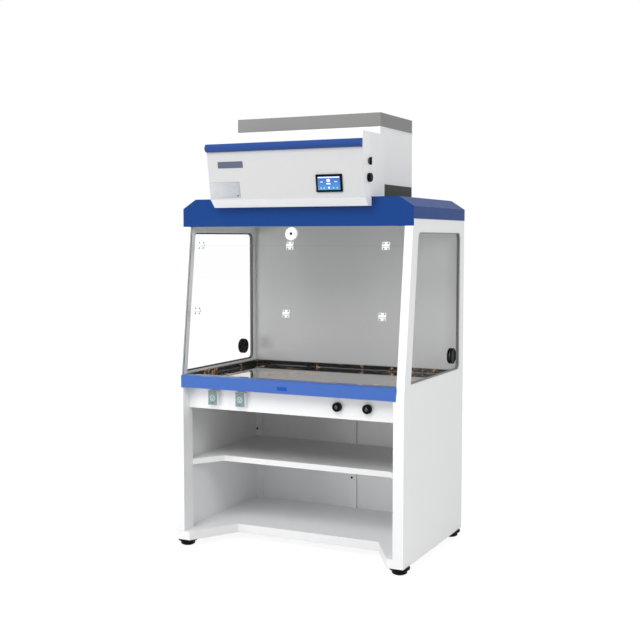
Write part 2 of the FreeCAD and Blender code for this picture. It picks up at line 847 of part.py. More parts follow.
levels = (hepa_low + pleat_in, deck_low - pleat_in)
points = [(-media_x + k * pitch, levels[k % 2]) for k in range(pleats + 1)]
upper = [(x, z + media_t) for x, z in reversed(points)]
save("fine_filter", joined([hepa_frame, prism_xz(points + upper, media_y[0], media_y[1])]))

# Fan deck with a round eye and a welded bar that carries the motor
fan_y = box_y + box_d / 2
deck_top = deck_low + deck_t
wheel_low = deck_top + fan_lift
wheel_top = wheel_low + fan_h
motor_low = wheel_top + motor_gap
motor_top = motor_low + motor_h
fan_deck = box(-room_x, room_x, room_y[0], room_y[1], deck_low, deck_top)
fan_deck = fan_deck.cut(rod_z(0, fan_y, deck_low - over, deck_top + over, fan_eye))
bar_x = bar_w / 2
bar_top = motor_top + bar_t
leg_y = (box_y + cap_step + sheet + reveal, head_rear - sheet - reveal)
save("fan_deck", joined([
    fan_deck,
    box(-bar_x, bar_x, leg_y[0], leg_y[1], motor_top, bar_top),
    box(-bar_x, bar_x, leg_y[0], leg_y[0] + bar_t, deck_top, bar_top),
    box(-bar_x, bar_x, leg_y[1] - bar_t, leg_y[1], deck_top, bar_top)]))

# Impeller with backward curved blades between two plates, on the shaft of the motor
hub_low = wheel_low + fan_h / 2
ring = rod_z(0, fan_y, wheel_low, wheel_low + fan_plate, fan_r)
ring = ring.cut(rod_z(0, fan_y, wheel_low, wheel_low + fan_plate, fan_eye))
wheel = [rod_z(0, fan_y, wheel_top - fan_plate, wheel_top, fan_r), ring,
         rod_z(0, fan_y, hub_low, wheel_top, hub_r)]
for k in range(blades):
    path = []
    for step in range(blade_steps + 1):
        part = step / blade_steps
        r = fan_eye + blade_in + (fan_r - fan_eye - blade_in - blade_out) * part
        path.append((r, 2 * math.pi * k / blades - blade_sweep * part))
    blade = [(r * math.cos(a), fan_y + r * math.sin(a)) for r, a in path]
    for r, a in reversed(path):
        a += blade_t / r
        blade.append((r * math.cos(a), fan_y + r * math.sin(a)))
    wheel.append(prism_xy(blade, wheel_low + fan_plate / 2, wheel_top - fan_plate / 2))
impeller = joined(wheel).cut(rod_z(0, fan_y, wheel_low, wheel_top + over, shaft_r + run_fit))
save("fan_impeller", impeller.removeSplitter())
save("fan_motor", joined([
    rod_z(0, fan_y, motor_low, motor_top, motor_r),
    rod_z(0, fan_y, hub_low, motor_low, shaft_r)]))

# Exhaust cap: a shallow grey cover with outlet slots in its top
cap_y = box_y + cap_step
cap = box(-box_x, box_x, cap_y, head_rear, cap_bottom, cap_top)
cap = cap.cut(box(-room_x, room_x, cap_y + sheet, room_y[1], cap_bottom, cap_top - sheet))
slot_pitch = (box_d - 2 * slot_end) / slot_count
slot_x = box_x - slot_side
for k in range(slot_count):
    y0 = box_y + slot_end + (k + 0.5) * slot_pitch - slot_w / 2
    for x0, x1 in ((-slot_x, -slot_mid), (slot_mid, slot_x)):
        cap = cap.cut(box(x0, x1, y0, y0 + slot_w, cap_top - 2 * sheet, cap_top + over))
save("exhaust_cap", cap)

# Control box: a housing open towards the door, with two hooks for its lock and latch
head_x = head_w / 2
lock_y = front + lock_back
seam_y = front + head_seam
control_y = seam_y + head_gap
skin = head_x - sheet
control = box(-head_x, head_x, control_y, box_y, canopy_top, control_top)
control = control.cut(box(-skin, skin, control_y, box_y - sheet, canopy_top + sheet, control_top - sheet))
tongue_x = (head_x - keeper_w - keeper_side, head_x - keeper_side)
hook_y = lock_y - cam_w / 2 - keeper_clear
hook_end = control_y + keeper_in
for z in (lock_z, latch_z):
    top = z + cam_len + keeper_clear
    control = control.multiFuse([
        box(tongue_x[0], tongue_x[1], hook_y, hook_end, top, top + keeper_t),
        box(tongue_x[0], tongue_x[1], hook_y - keeper_t, hook_y, top - keeper_hook, top + keeper_t),
        box(tongue_x[1], skin, control_y + keeper_step, hook_end, top, top + keeper_t)])

# Mains inlet with three pins in its well, in the left wall of the control box
inlet_y = box_y - inlet_back


def inlet_block(x0, x1, ear, edge):
    """Block in line with the inlet, wider than it by an ear and taller by an edge on each side."""
    return box(x0, x1, inlet_y - inlet_w / 2 - ear, inlet_y + inlet_w / 2 + ear,
               inlet_z - inlet_h / 2 - edge, inlet_z + inlet_h / 2 + edge)


control = control.cut(inlet_block(-head_x - over, -head_x + 2 * sheet, 0, 0))
save("control_box", control.removeSplitter())
inlet = inlet_block(-head_x - inlet_lip, -head_x, inlet_ear, inlet_edge)
inlet = inlet.fuse(inlet_block(-head_x, -head_x + inlet_d, -reveal, -reveal))
well_end = -head_x + inlet_well
inlet = inlet.cut(inlet_block(-head_x - inlet_lip, well_end, -inlet_wall, -inlet_wall))
for dy, dz in inlet_pins:
    y0 = inlet_y + dy - inlet_pin_w / 2
    z0 = inlet_z + dz - inlet_pin_h / 2
    inlet = inlet.fuse(box(well_end - inlet_pin, well_end, y0, y0 + inlet_pin_w, z0, z0 + inlet_pin_h))
save("power_inlet", inlet.removeSplitter())

# Control board on four stand-offs and the power supply, both on the housing's rear wall
board_x = head_x - board_side
board_back = box_y - sheet - stand_off
board_face = board_back - board_t
pieces = [box(board_x - board_w / 2, board_x + board_w / 2, board_face, board_back,
              board_z - board_h / 2, board_z + board_h / 2)]
for dx in (-1, 1):
    for dz in (-1, 1):
        x = board_x + dx * (board_w / 2 - post_in)
        z = board_z + dz * (board_h / 2 - post_in)
        pieces.append(rod_y(x, board_back, board_back + stand_off, z, post_r))
for x, z, w, h, d in chips:
    x0 = board_x + x - w / 2
    z0 = board_z + z - h / 2
    pieces.append(box(x0, x0 + w, board_face - d, board_face, z0, z0 + h))
save("control_board", joined(pieces))
supply_x = board_side - head_x
save("power_supply", box(supply_x - supply_w / 2, supply_x + supply_w / 2, box_y - sheet - supply_d,
                         box_y - sheet, board_z - supply_h / 2, board_z + supply_h / 2))

# Door of the head: a folded pan with a leaning face, a lower band and a lip ahead of the canopy
face_y = front - door_ahead
lip_y = canopy_y - lip_clear
fold_y = face_y + face_slope
band_y = fold_y + band_back
door_foot = canopy_top - door_over
door_outline = [(face_y, control_top), (face_y, face_high), (fold_y, face_low), (band_y, band_low),
                (lip_y, band_low), (lip_y, door_foot), (seam_y, door_foot), (seam_y, control_top)]
run = math.atan2(face_slope, face_h)
band = math.atan2(band_back, band_h)
in_face = sheet / math.cos(run)
in_band = sheet / math.cos(band)
far = seam_y + head_seam
door_hollow = [(face_y + sheet, control_top - sheet), (face_y + sheet, face_high),
               (fold_y + in_face, face_low + sheet / 2), (band_y + in_band - sheet, band_low + sheet),
               (far, band_low + sheet), (far, control_top - sheet)]
door = prism_yz(door_outline, -head_x, head_x).cut(prism_yz(door_hollow, -skin, skin))


def on_face(z, out):
    """Point (y, z) on the leaning face at a height, moved out of it."""
    y = face_y + face_slope * (face_high - z) / face_h
    return (y - out * math.cos(run), z - out * math.sin(run))


def face_block(x, z, w, h, out0, out1):
    """Block on the leaning face, centred on x and z."""
    corners = [on_face(z - h / 2, out0), on_face(z + h / 2, out0),
               on_face(z + h / 2, out1), on_face(z - h / 2, out1)]
    return prism_yz(corners, x - w / 2, x + w / 2)


door = door.cut(face_block(screen_x, screen_z, screen_body_w + 2 * reveal, screen_body_h + 2 * reveal,
                           -face_cut, face_cut))
for z in (lock_z, latch_z):
    door = door.cut(rod_x(head_x - face_cut, head_x + face_cut, lock_y, z, lock_r + run_fit))
save("head_door", door.removeSplitter())

# Touch screen: a bezel on the face and a body through it
save("touch_screen", joined([
    face_block(screen_x, screen_z, screen_w, screen_h, 0.0, screen_proud),
    face_block(screen_x, screen_z, screen_body_w, screen_body_h, -screen_body_t, 0.0)]))

# Grip strip: an extrusion with a six-sided nose along the top of the door
grip_y = face_y - grip_proud
shoulder_y = face_y - grip_shoulder
grip_low = grip_mid - grip_h / 2
grip_high = grip_mid + grip_h / 2
nose = [(face_y, grip_low), (shoulder_y, grip_low + grip_foot), (grip_y, grip_mid + grip_nose[0]),
        (grip_y, grip_mid + grip_nose[1]), (shoulder_y, grip_high - over), (face_y, grip_high)]
save("door_grip", prism_yz(nose, -head_x, head_x))

# Key lock and round latch in the door's right flange. Open cams point back, shut ones up behind the hooks
plate_x = head_x + reveal
cam_x = head_x - cam_in


def cam(z):
    """Shaft through the flange with a flat cam on its inner end."""
    return [rod_x(cam_x, plate_x + lock_rim, lock_y, z, lock_r),
            box(cam_x - cam_t, cam_x, lock_y - cam_w / 2, lock_y + cam_len, z - cam_w / 2, z + cam_w / 2)]


bow_x = plate_x + lock_rim
save("door_lock", joined(cam(lock_z) + [
    rod_x(plate_x, bow_x, lock_y, lock_z, lock_r + lock_rim),
    box(bow_x, bow_x + bow_out, lock_y - bow_t / 2, lock_y + bow_t / 2,
        lock_z - bow_h / 2, lock_z + bow_h / 2)]))
latch = rod_x(plate_x, plate_x + latch_t, lock_y, latch_z, latch_r)
latch = latch.makeFillet(latch_round, [e for e in latch.Edges if e.BoundBox.XMin > plate_x + latch_t - near])
latch = joined([latch] + cam(latch_z))
for k in range(dents):
    a = 2 * math.pi * k / dents
    dent_y = lock_y + (latch_r + dent_out) * math.cos(a)
    dent_z = latch_z + (latch_r + dent_out) * math.sin(a)
    latch = latch.cut(rod_x(plate_x + latch_plate, plate_x + latch_t + over, dent_y, dent_z, dent_r))
save("door_latch", latch)

# Two hinges on the left flange: the fixed leaf holds the pin, the door's leaf turns on it
axis_x = -head_x - side_knuckle_r - reveal
axis_y = seam_y + head_gap / 2
reach = side_knuckle_r + side_clear
leaf_x = -head_x - side_leaf_t
link_x = -head_x - reveal
fixed_leaves = []
door_leaves = []
for z in side_hinge_z:
    z0 = z - side_hinge_h / 2
    z1 = z0 + side_hinge_h
    third = side_hinge_h / 3
    m0 = z0 + third + knuckle_gap
    m1 = z1 - third - knuckle_gap
    fixed = box(leaf_x, -head_x, control_y + side_clear, control_y + side_leaf_w, z0, z1)
    for a in (z0, z1 - third):
        fixed = fixed.fuse(rod_z(axis_x, axis_y, a, a + third, side_knuckle_r))
        fixed = fixed.fuse(box(leaf_x, link_x, axis_y, control_y + side_clear, a, a + third))
    fixed = fixed.cut(box(leaf_x - over, -head_x + over, axis_y, axis_y + reach, z0 + third, z1 - third))
    fixed = fixed.fuse(rod_z(axis_x, axis_y, z0, z1, side_pin_r))
    fixed_leaves.append(fixed.removeSplitter())
    leaf = box(leaf_x, -head_x, seam_y - side_leaf_w, seam_y - side_clear, z0, z1)
    for a, b in ((z0 - over, m0), (m1, z1 + over)):
        leaf = leaf.cut(box(leaf_x - over, -head_x + over, axis_y - reach, axis_y, a, b))
    leaf = leaf.fuse(box(leaf_x, link_x, axis_y - reach, axis_y, m0, m1))
    leaf = leaf.fuse(rod_z(axis_x, axis_y, m0, m1, side_knuckle_r))
    leaf = leaf.cut(rod_z(axis_x, axis_y, z0, z1, side_pin_r + run_fit))
    door_leaves.append(leaf.removeSplitter())
save("door_hinge_fixed", fixed_leaves)
save("door_hinge_leaves", door_leaves)
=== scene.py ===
import bmesh
import bpy
import numpy as np
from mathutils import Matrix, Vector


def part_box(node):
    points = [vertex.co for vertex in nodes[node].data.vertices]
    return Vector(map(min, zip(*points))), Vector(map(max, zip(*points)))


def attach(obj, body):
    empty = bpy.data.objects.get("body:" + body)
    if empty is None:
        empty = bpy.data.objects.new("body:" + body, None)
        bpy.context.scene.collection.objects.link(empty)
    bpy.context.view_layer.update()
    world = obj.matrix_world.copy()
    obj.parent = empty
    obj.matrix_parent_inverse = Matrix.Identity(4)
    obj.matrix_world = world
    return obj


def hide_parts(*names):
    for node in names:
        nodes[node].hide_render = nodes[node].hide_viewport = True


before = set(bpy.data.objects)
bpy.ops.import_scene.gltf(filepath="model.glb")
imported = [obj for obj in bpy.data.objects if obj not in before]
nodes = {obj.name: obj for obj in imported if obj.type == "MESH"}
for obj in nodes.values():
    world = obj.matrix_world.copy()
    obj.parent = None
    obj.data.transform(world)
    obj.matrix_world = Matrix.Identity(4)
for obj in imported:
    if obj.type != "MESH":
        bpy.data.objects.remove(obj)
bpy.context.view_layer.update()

# The camera stands where the photograph was taken from: at a standing person's eye height, five
# metres off and to the right. The lens shift keeps the photograph's framing.
photo_pixels = 640
focal_pixels = 1091.2
shift_pixels = (0.57, 3.68)
sensor_width = 36.0
eye = (2.3316, -4.8402, 1.5069)
looks_down = 4.4346
turned_left = 25.7479
lens = bpy.data.cameras.new("camera")
lens.sensor_width = sensor_width
lens.lens = sensor_width * focal_pixels / photo_pixels
lens.shift_x = shift_pixels[0] / photo_pixels
lens.shift_y = shift_pixels[1] / photo_pixels
camera = bpy.data.objects.new("camera", lens)
camera.location = eye
camera.rotation_euler = np.radians([90.0 - looks_down, 0.0, turned_left])
bpy.context.collection.objects.link(camera)
bpy.context.scene.camera = camera
bpy.context.scene.view_settings.view_transform = "Standard"


# Studio floor and light. A pale floor that shows white to the lens and still takes the shadow, an
# even white surround, a broad lamp high in front, and two weaker ones low in front and on the right.
def feed(tree, node, inputs):
    """Each input gets a plain value, or a link where it is given another node's socket."""
    for key, value in inputs.items():
        if isinstance(value, bpy.types.NodeSocket):
            tree.links.new(value, node.inputs[key])
        else:
            node.inputs[key].default_value = value


def add(tree, kind, inputs=None, **settings):
    """New shader node of a kind, with its settings and its inputs."""
    node = tree.nodes.new("ShaderNode" + kind)
    for key, value in settings.items():
        setattr(node, key, value)
    feed(tree, node, inputs or {})
    return node


def seen_rays(tree):
    """1 for rays that show a thing directly, in a gloss or through glass, 0 for rays that light."""
    path = add(tree, "LightPath")
    kinds = [path.outputs["Is %s Ray" % kind] for kind in ("Camera", "Glossy", "Transmission")]
    plain = add(tree, "Math", {0: kinds[0], 1: kinds[1]}, operation="MAXIMUM").outputs[0]
    return add(tree, "Math", {0: plain, 1: kinds[2]}, operation="MAXIMUM").outputs[0]


surround = bpy.data.worlds.new("surround")
surround.use_nodes = True
bpy.context.scene.world = surround
sky = surround.node_tree
fill_level = 0.62
level = add(sky, "MapRange", {"Value": seen_rays(sky), "To Min": fill_level, "To Max": 1.0})
feed(sky, sky.nodes["Background"], {"Color": (1.0, 1.0, 1.0, 1.0), "Strength": level.outputs[0]})

floor_mesh = bpy.data.meshes.new("floor")
reach = 30.0
floor_corners = [(-reach, -reach, 0), (reach, -reach, 0), (reach, reach, 0), (-reach, reach, 0)]
floor_mesh.from_pydata(floor_corners, [], [(0, 1, 2, 3)])
floor = bpy.data.objects.new("floor", floor_mesh)
bpy.context.collection.objects.link(floor)
floor_paint = bpy.data.materials.new("floor")
floor_paint.use_nodes = True
tree = floor_paint.node_tree
shader = tree.nodes["Principled BSDF"]
feed(tree, shader, {"Base Color": (0.8, 0.8, 0.8, 1.0), "Roughness": 0.9})
glow = add(tree, "Emission", {"Color": (1.0, 1.0, 1.0, 1.0), "Strength": 1.2})
share = add(tree, "Math", {0: seen_rays(tree), 1: 0.75}, operation="MULTIPLY")
blend = add(tree, "MixShader", {0: share.outputs[0], 1: shader.outputs[0], 2: glow.outputs[0]})
feed(tree, tree.nodes["Material Output"], {"Surface": blend.outputs[0]})
floor_mesh.materials.append(floor_paint)


def lamp(name, place, target, size, power):
    """Square area lamp at a place, turned to face a target."""
    data = bpy.data.lights.new(name, "AREA")
    data.size = size
    data.energy = power
    made = bpy.data.objects.new(name, data)
    made.location = place
    x, y, z = np.subtract(target, place)
    made.rotation_euler = (np.arccos(-z / np.linalg.norm((x, y, z))), 0.0, np.arctan2(-x, y))
    made.visible_glossy = False
    bpy.context.collection.objects.link(made)


lamp("high_lamp", (-0.4, -3.3, 3.9), (0.0, 0.0, 0.8), 2.2, 92.0)
lamp("left_lamp", (-3.0, -4.0, 0.6), (0.0, -0.3, 0.8), 1.6, 50.0)
lamp("right_lamp", (4.0, -1.8, 2.8), (0.0, 0.0, 1.2), 1.6, 34.0)


# White sheet steel of the cabinet: folded, welded and powder coated in one go, so every sheet has
# the same fine orange peel, and the coat draws back a little from each edge. The chamber's liner and
# ceiling get a greyer colour than the cabinet's white: painted shade for the inside of the chamber.
def group(name, inputs, outputs):
    """Node group with named inputs, each (kind, value), and named outputs. Returns it and its ends."""
    made = bpy.data.node_groups.new(name, "ShaderNodeTree")
    for label, (kind, value) in inputs.items():
        socket = made.interface.new_socket(label, in_out="INPUT", socket_type="NodeSocket" + kind)
        socket.default_value = value
    for label, kind in outputs.items():
        made.interface.new_socket(label, in_out="OUTPUT", socket_type="NodeSocket" + kind)
    return made, made.nodes.new("NodeGroupInput"), made.nodes.new("NodeGroupOutput")


def spread(tree, value, low, high, start=0.0, end=1.0):
    """A value carried from one range to another."""
    ends = {"From Min": start, "From Max": end, "To Min": low, "To Max": high}
    return add(tree, "MapRange", {"Value": value, **ends}).outputs[0]


def tint(tree, colour, factor):
    """A colour made darker or lighter by a factor that changes over the surface."""
    grey = add(tree, "CombineColor", {0: factor, 1: factor, 2: factor})
    node = add(tree, "Mix", {0: 1.0, 6: colour, 7: grey.outputs[0]}, data_type="RGBA", blend_type="MULTIPLY")
    return node.outputs[2]


def noise(tree, vector, scale, detail=2.0, roughness=0.5):
    """Cloudy value between 0 and 1 over a place."""
    node = add(tree, "TexNoise", {"Vector": vector, "Scale": scale, "Detail": detail, "Roughness": roughness})
    return node.outputs[0]


coat, given, result = group(
    "powder_coat",
    {"Paint": ("Color", (0.8, 0.8, 0.8, 1.0)), "Peel": ("Float", 0.15), "Edge": ("Float", 0.0015),
     "Gloss": ("Float", 0.4)},
    {"Colour": "Color", "Roughness": "Float", "Normal": "Vector"})
place = add(coat, "TexCoord").outputs["Object"]
round_edge = add(coat, "Bevel", {"Radius": given.outputs["Edge"]}, samples=4).outputs[0]
flat_normal = add(coat, "NewGeometry").outputs["Normal"]
facing = add(coat, "VectorMath", {0: round_edge, 1: flat_normal}, operation="DOT_PRODUCT")
rim = spread(coat, facing.outputs["Value"], 1.0, 0.0, 0.8, 0.995)
cloud = noise(coat, place, 2.2, 3.0)
thin_coat = spread(coat, rim, 1.0, 0.93)
worn = add(coat, "Math", {0: spread(coat, cloud, 0.985, 1.015), 1: thin_coat}, operation="MULTIPLY")
gloss_drift = spread(coat, noise(coat, place, 26.0), -0.05, 0.05)
rough = add(coat, "Math", {0: given.outputs["Gloss"], 1: gloss_drift}, operation="ADD")
peel = add(coat, "Bump", {"Strength": given.outputs["Peel"], "Distance": 0.00002,
                          "Height": noise(coat, place, 420.0), "Normal": round_edge})
feed(coat, result, {"Colour": tint(coat, given.outputs["Paint"], worn.outputs[0]),
                    "Roughness": rough.outputs[0], "Normal": peel.outputs[0]})


def finish(name, effect, values, **plain):
    """Material whose colour, roughness and normal come from an effect, with plain values on its shader."""
    made = bpy.data.materials.new(name)
    made.use_nodes = True
    tree = made.node_tree
    shader = tree.nodes["Principled BSDF"]
    source = add(tree, "Group", values, node_tree=effect)
    feed(tree, shader, {"Base Color": source.outputs["Colour"], "Roughness": source.outputs["Roughness"],
                        "Normal": source.outputs["Normal"]})
    feed(tree, shader, {key.replace("_", " "): value for key, value in plain.items()})
    return made


def dress(made, *names):
    """A material put on CAD pieces."""
    for name in names:
        nodes[name].data.materials.clear()
        nodes[name].data.materials.append(made)


white = finish("white_powder_coat", coat, {"Paint": (0.865, 0.87, 0.875, 1.0), "Gloss": 0.42})
dress(white, "base_tray", "shelf", "shelf_brackets", "side_panel_left", "side_panel_right",
      "lower_post_left", "lower_post_right", "upper_post_left", "upper_post_right", "outer_back",
      "lower_back_panel", "worktop_rails", "apron")
# Painted shade: the liner and ceiling are white sheet, given a grey colour for the chamber's shade.
liner = finish("liner_painted_shade", coat, {"Paint": (0.59, 0.595, 0.595, 1.0), "Gloss": 0.36})
dress(liner, "back_liner", "ceiling_panel")


# Levelling feet: a bowl with a broad rim, moulded in black plastic round a steel stud that screws
# into the cabinet's floor.
def softened(corners, radius, steps=5):
    """Open line of corners, each turned into a curve (1-t)^2 A + 2t(1-t) C + t^2 B that starts and ends
    a radius from the corner C, or at 0.45 of the run beside it where that is less."""
    corners = np.asarray(corners, float)
    before = corners[:-2] - corners[1:-1]
    after = corners[2:] - corners[1:-1]
    reach_before = np.linalg.norm(before, axis=1, keepdims=True)
    reach_after = np.linalg.norm(after, axis=1, keepdims=True)
    radius = np.minimum(radius, 0.45 * np.minimum(reach_before, reach_after))
    a = corners[1:-1] + before / reach_before * radius
    b = corners[1:-1] + after / reach_after * radius
    t = np.linspace(0.0, 1.0, steps)[None, :, None]
    bend = (1 - t) ** 2 * a[:, None] + 2 * t * (1 - t) * corners[1:-1][:, None] + t ** 2 * b[:, None]
    return np.vstack([corners[:1], bend.reshape(-1, corners.shape[1]), corners[-1:]])


def lathe(profile, segments=64):
    """Rows follow the profile's (radius, height) points, columns go round: (r cos t, r sin t, h)."""
    turn = np.linspace(0.0, 2 * np.pi, segments, endpoint=False)
    radius, height = np.asarray(profile, float).T[:, :, None]
    return np.stack([radius * np.cos(turn), radius * np.sin(turn), height + 0 * turn], axis=2)


def placed(grid, origin, u=(1, 0, 0), v=(0, 1, 0)):
    """The grid's x, y and z carried to origin + x u + y v + z (u cross v)."""
    return grid @ np.array([u, v, np.cross(u, v)], float) + np.asarray(origin, float)


def piece(name, grids, made, body, stands_for=(), sharp=40.0):
    """One mesh from grids of points: row i joins row i + 1, the last column joins the first, and a
    row whose points are all the same closes an end."""
    points, faces, count = [], [], 0
    for grid in grids:
        rows, columns = grid.shape[:2]
        index = count + np.arange(rows * columns).reshape(rows, columns)
        beside = np.roll(index, -1, axis=1)
        faces.append(np.stack([index[:-1], beside[:-1], beside[1:], index[1:]], axis=2).reshape(-1, 4))
        points.append(grid.reshape(-1, 3))
        count += rows * columns
    mesh = bpy.data.meshes.new(name)
    mesh.from_pydata(np.vstack(points).tolist(), [], np.vstack(faces).tolist())
    shape = bmesh.new()
    shape.from_mesh(mesh)
    bmesh.ops.remove_doubles(shape, verts=shape.verts, dist=1e-6)
    bmesh.ops.recalc_face_normals(shape, faces=shape.faces)
    shape.to_mesh(mesh)
    shape.free()
    mesh.shade_smooth()
    mesh.set_sharp_from_angle(angle=np.radians(sharp))
    mesh.materials.append(made)
    made_piece = bpy.data.objects.new(name, mesh)
    bpy.context.collection.objects.link(made_piece)
    if stands_for:
        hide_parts(*stands_for)
    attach(made_piece, body)


mould, given, result = group(
    "moulded_plastic",
    {"Plastic": ("Color", (0.5, 0.5, 0.5, 1.0)), "Grain": ("Float", 0.3), "Gloss": ("Float", 0.4)},
    {"Colour": "Color", "Roughness": "Float", "Normal": "Vector"})
place = add(mould, "TexCoord").outputs["Object"]
cells = add(mould, "TexVoronoi", {"Vector": place, "Scale": 1500.0}).outputs["Distance"]
stain = noise(mould, place, 45.0, 3.0)
bump = add(mould, "Bump", {"Strength": given.outputs["Grain"], "Distance": 0.0002, "Height": cells,
                           "Normal": add(mould, "Bevel", {"Radius": 0.0006}, samples=4).outputs[0]})
rough = add(mould, "Math", {0: given.outputs["Gloss"], 1: spread(mould, stain, -0.08, 0.08)}, operation="ADD")
feed(mould, result, {"Colour": tint(mould, given.outputs["Plastic"], spread(mould, stain, 0.9, 1.1)),
                     "Roughness": rough.outputs[0], "Normal": bump.outputs[0]})

black_plastic = finish("black_plastic", mould, {"Plastic": (0.004, 0.004, 0.005, 1.0), "Gloss": 0.42},
                       Specular_IOR_Level=0.07)
white_plastic = finish("white_plastic", mould, {"Plastic": (0.82, 0.83, 0.83, 1.0), "Grain": 0.1,
                                                "Gloss": 0.3})

stud_r = 0.006
pad_top = 0.0356
pad_soft = 0.0018
for name in ("foot_front_left", "foot_front_right", "foot_rear_left", "foot_rear_right"):
    low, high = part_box(name)
    middle = ((low[0] + high[0]) / 2, (low[1] + high[1]) / 2, 0.0)
    pad = [(0, 0), (0.024, 0), (0.0345, 0.006), (0.0368, 0.0205), (0.0465, 0.0235), (0.0479, 0.0275),
           (0.0479, 0.0335), (0.0455, pad_top), (stud_r, pad_top), (stud_r, high[2] - 0.0001), (0, high[2])]
    grid = placed(lathe(softened(pad, pad_soft)), middle)
    piece(name + "_pad", [grid], black_plastic, name, [name])


# Glazing: clear toughened glass in the sides and in the folding front. Light goes straight through,
# the faces mirror at a low angle, and the cut edges look green. The side panes sit in rubber gaskets
# that are black on the chamber's side and grey outside.
def mixed(tree, factor, first, second):
    """Colour that goes from the first to the second as the factor goes from 0 to 1."""
    return add(tree, "Mix", {0: factor, 6: first, 7: second}, data_type="RGBA").outputs[2]


def glazing(name, across):
    """Clear glass whose cut edges are those that don't face along `across`."""
    made = bpy.data.materials.new(name)
    made.use_nodes = True
    tree = made.node_tree
    shader = tree.nodes["Principled BSDF"]
    spots = add(tree, "TexCoord")
    side = add(tree, "VectorMath", {0: spots.outputs["Normal"], 1: across}, operation="DOT_PRODUCT")
    flat = add(tree, "Math", {0: side.outputs["Value"]}, operation="ABSOLUTE").outputs[0]
    edge = spread(tree, flat, 1.0, 0.0, 0.5, 0.9)
    facing = add(tree, "LayerWeight", {"Blend": 0.5}).outputs["Facing"]
    grazing = add(tree, "Math", {0: facing, 1: 5.0}, operation="POWER").outputs[0]
    mirror = spread(tree, grazing, 0.003, 0.12)
    smear = noise(tree, spots.outputs["Object"], 6.0, 4.0)
    film = add(tree, "Math", {0: mirror, 1: spread(tree, smear, 0.0, 0.004, 0.45, 0.75)}, operation="ADD")
    edge_shown = 0.75
    shown = add(tree, "Mix", {0: edge, 2: film.outputs[0], 3: edge_shown}).outputs[0]
    face_colour = (0.95, 0.97, 0.97, 1.0)
    edge_colour = (0.36, 0.5, 0.46, 1.0)
    feed(tree, shader, {"Base Color": mixed(tree, edge, face_colour, edge_colour), "Alpha": shown,
                        "Roughness": 0.02, "Metallic": 1.0})
    return made


def along_axis(tree, axis):
    """Place along an axis of the object."""
    return add(tree, "SeparateXYZ", {0: add(tree, "TexCoord").outputs["Object"]}).outputs[axis]


def vary(made, label, value):
    """An input of a material's effect taken from another node's socket."""
    source = [node for node in made.node_tree.nodes if node.type == "GROUP"][0]
    feed(made.node_tree, source, {label: value})


post_low, post_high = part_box("upper_post_right")
post_depth = 0.048
lean = np.arctan2(post_high[1] - post_low[1] - post_depth, post_high[2] - post_low[2])
up_slope = np.array([0.0, np.sin(lean), np.cos(lean)])
off_slope = np.array([0.0, -np.cos(lean), np.sin(lean)])
side_glass = glazing("side_glass", (1.0, 0.0, 0.0))
front_glass = glazing("front_glass", tuple(off_slope))
dress(side_glass, "side_window_left", "side_window_right")
dress(front_glass, "sash_fixed_pane", "sash_middle_pane", "sash_lower_pane")
rubber = finish("gasket_rubber", mould, {"Grain": 0.2, "Gloss": 0.55}, Specular_IOR_Level=0.1)
tree = rubber.node_tree
beside = add(tree, "Math", {0: along_axis(tree, "X")}, operation="ABSOLUTE").outputs[0]
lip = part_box("window_gaskets")[1][0]
grey_depth = 0.012
outside = spread(tree, beside, 0.0, 1.0, lip - grey_depth - 0.0005, lip - grey_depth)
vary(rubber, "Plastic", mixed(tree, outside, (0.006, 0.006, 0.007, 1.0), (0.3, 0.3, 0.3, 1.0)))
dress(rubber, "window_gaskets")


# Cable ports: a two-part black collar clamped on each side pane, with a slit rubber disc in it.
def port_profile():
    """Half of the collar, from its middle plane outwards, as (radius, distance) points."""
    return softened([(0.033, 0.0), (0.039, 0.0), (0.039, 0.0075), (0.036, 0.0098), (0.0295, 0.0098),
                     (0.028, 0.0065), (0.027, 0.006), (0.004, 0.0068), (0.0, 0.006)], 0.0012)


facing_right = ((0, 1, 0), (0, 0, 1))
facing_front = ((1, 0, 0), (0, 0, 1))
port_low, port_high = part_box("cable_ports")
port_centre = (np.array(port_low) + np.array(port_high)) / 2
grids = []
for pane in ("side_window_left", "side_window_right"):
    low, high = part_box(pane)
    for face, away in ((low[0], -1.0), (high[0], 1.0)):
        grid = placed(lathe(port_profile()), (face, port_centre[1], port_centre[2]), *facing_right)
        grid[:, :, 0] = face + (grid[:, :, 0] - face) * away
        grids.append(grid)
piece("cable_port_collars", grids, black_plastic, "cabinet", ["cable_ports"])


# Hinges of the folding front: white moulded butt hinges, three to a fold. Each leaf is held to its
# pane by two small dark pan head screws with a cross recess.
def screw_head(radius, rise):
    """Dome h = rise (1 - (r/R)^4) with a cross sunk into it where |x| or |y| is small inside 0.62 R."""
    r = np.linspace(0.0, 1.0, 12)[:, None]
    turn = np.linspace(0.0, 2 * np.pi, 40, endpoint=False)[None, :]
    x, y = r * np.cos(turn), r * np.sin(turn)
    bar = np.minimum(np.abs(x), np.abs(y))
    cross = np.clip((0.17 - bar) / 0.06, 0.0, 1.0) * np.clip((0.66 - r) / 0.08, 0.0, 1.0)
    height = rise * (1 - r ** 4) - 0.7 * rise * cross
    top = np.stack([radius * x, radius * y, height], axis=2)
    foot = np.zeros_like(top[:1])
    return np.concatenate([top, top[-1:] * (1, 1, 0) + (0, 0, -0.0004), foot + (0, 0, -0.0004)])


